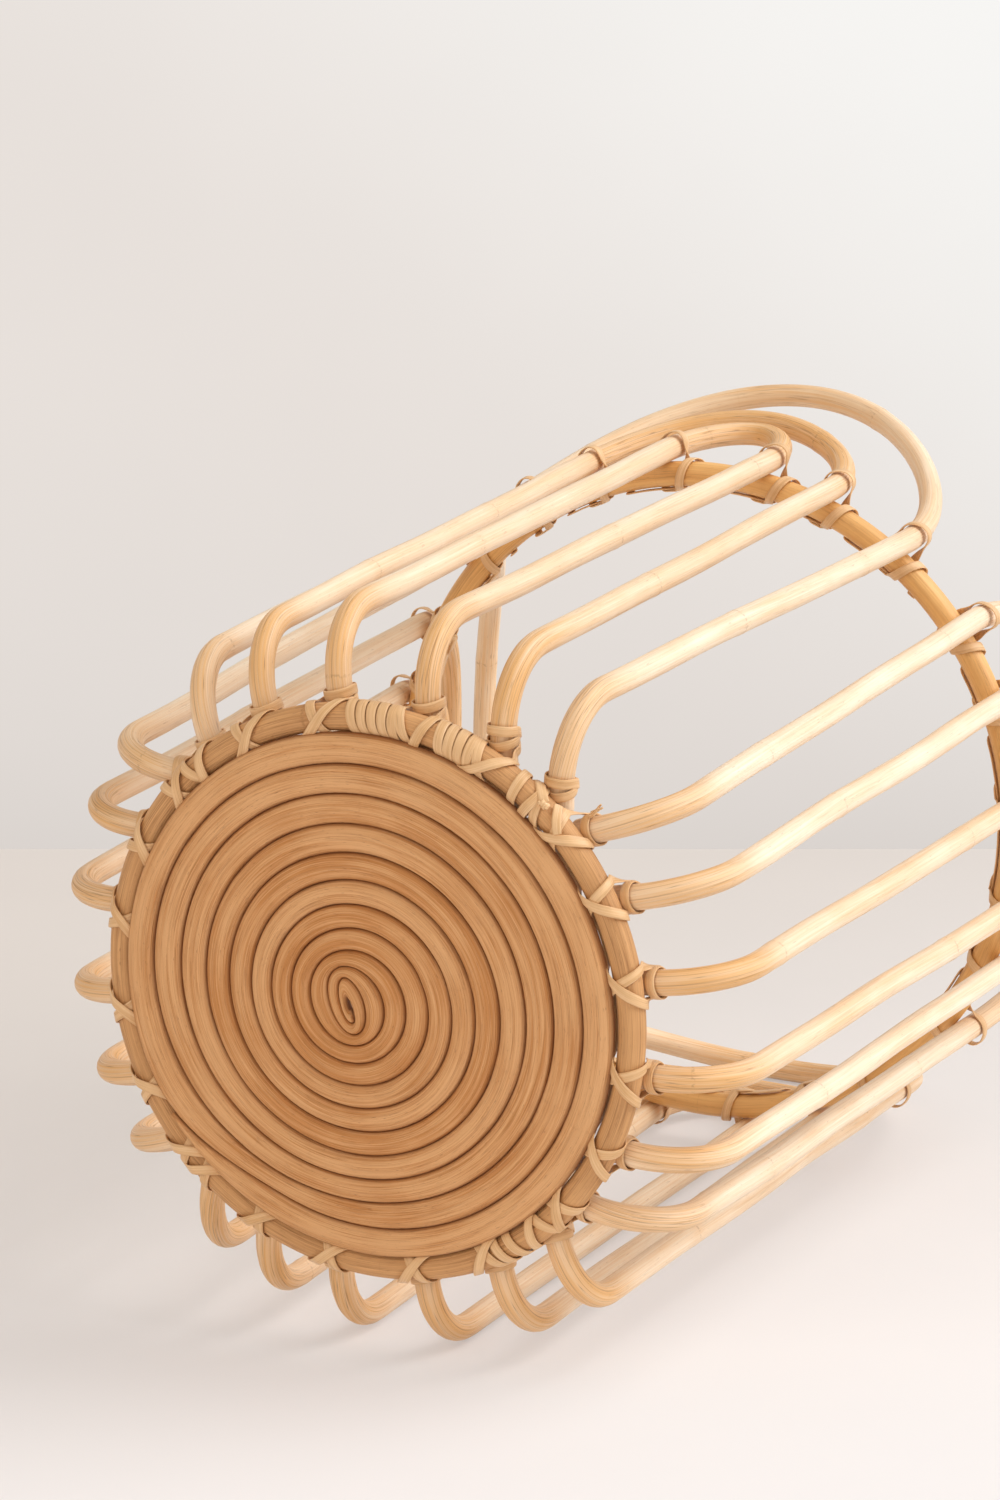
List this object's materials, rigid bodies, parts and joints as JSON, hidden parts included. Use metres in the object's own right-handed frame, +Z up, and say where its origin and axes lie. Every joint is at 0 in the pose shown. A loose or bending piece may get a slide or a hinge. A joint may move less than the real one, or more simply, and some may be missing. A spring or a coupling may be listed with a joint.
{
  "type": "rattan basket",
  "caption": "Tall round rattan basket of upright bent rods that end in nested arches, with a flat spiral base and bound rings.",
  "frame": {"origin": "middle of the basket's outline at the flat underside of the spiral base", "axes": "+Z up along the basket's axis; +Y towards the side whose ribs stand at the top of the picture"},
  "size_m": [0.3895, 0.3896, 0.5145],
  "materials": {
    "spiral": "satin rattan pole, darker tan",
    "base_ring": "satin rattan pole, tan",
    "top_ring": "satin rattan pole, orange-tan",
    "rods": "satin rattan rod, pale cream to tan",
    "bindings": "split cane strip, satin"
  },
  "bodies": {
    "root": {"base_spiral": "spiral", "base_ring": "base_ring", "top_ring": "top_ring", "rod_north_inner": "rods", "rod_north_middle": "rods", "rod_north_outer": "rods", "rod_west_inner": "rods", "rod_west_middle": "rods", "rod_west_outer": "rods", "rod_south_inner": "rods", "rod_south_middle": "rods", "rod_south_outer": "rods", "rod_east_inner": "rods", "rod_east_middle": "rods", "rod_east_outer": "rods", "base_binding_1": "bindings", "base_binding_2": "bindings", "base_binding_3": "bindings", "base_binding_4": "bindings", "top_binding_1": "bindings", "top_binding_2": "bindings", "top_binding_3": "bindings", "top_binding_4": "bindings"}
  },
  "joints": []
}
